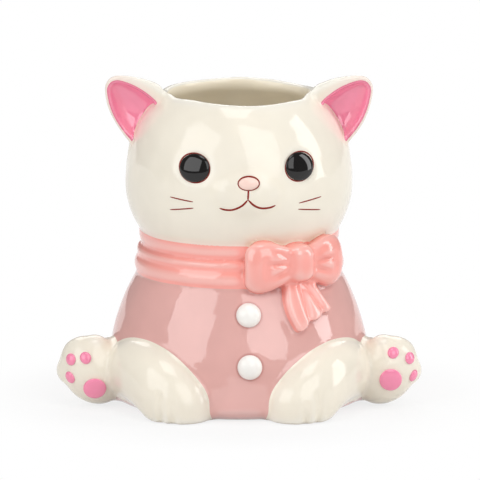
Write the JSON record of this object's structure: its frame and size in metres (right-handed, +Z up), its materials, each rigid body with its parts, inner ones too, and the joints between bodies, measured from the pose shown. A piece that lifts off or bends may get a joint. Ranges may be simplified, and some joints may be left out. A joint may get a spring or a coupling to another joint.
{
  "type": "animal shaped planter",
  "caption": "Glazed ceramic flower pot shaped as a sitting kitten in a buttoned coat and bow-tied scarf, with an open head as the pot's mouth and a drain hole in the floor.",
  "frame": {"origin": "centre of the foot ring, on the table", "axes": "+Z up, the face looks towards -Y, +X towards the viewer's right"},
  "size_m": [0.1504, 0.1142, 0.1355],
  "materials": {
    "ivory_glaze": "glossy ivory glaze",
    "coat_glaze": "glossy rose glaze",
    "scarf_glaze": "glossy coral glaze",
    "ear_enamel": "glossy pink enamel",
    "pad_enamel": "glossy pink enamel",
    "nose_enamel": "glossy pale pink enamel",
    "eye_enamel": "glossy black enamel",
    "button_glaze": "glossy white glaze"
  },
  "bodies": {
    "root": {"bow_knot": "scarf_glaze", "bow_tail": "scarf_glaze", "head_shell": "ivory_glaze", "left_bow_loop": "scarf_glaze", "left_ear": "ivory_glaze", "left_ear_lining": "ear_enamel", "left_eye": "eye_enamel", "left_front_leg": "ivory_glaze", "left_heel_pad": "pad_enamel", "left_hind_leg": "ivory_glaze", "left_toe_pads": "pad_enamel", "lower_button": "button_glaze", "nose": "nose_enamel", "right_bow_loop": "scarf_glaze", "right_ear": "ivory_glaze", "right_ear_lining": "ear_enamel", "right_eye": "eye_enamel", "right_front_leg": "ivory_glaze", "right_heel_pad": "pad_enamel", "right_hind_leg": "ivory_glaze", "right_toe_pads": "pad_enamel", "scarf_band": "scarf_glaze", "torso_shell": "coat_glaze", "upper_button": "button_glaze"}
  },
  "joints": []
}
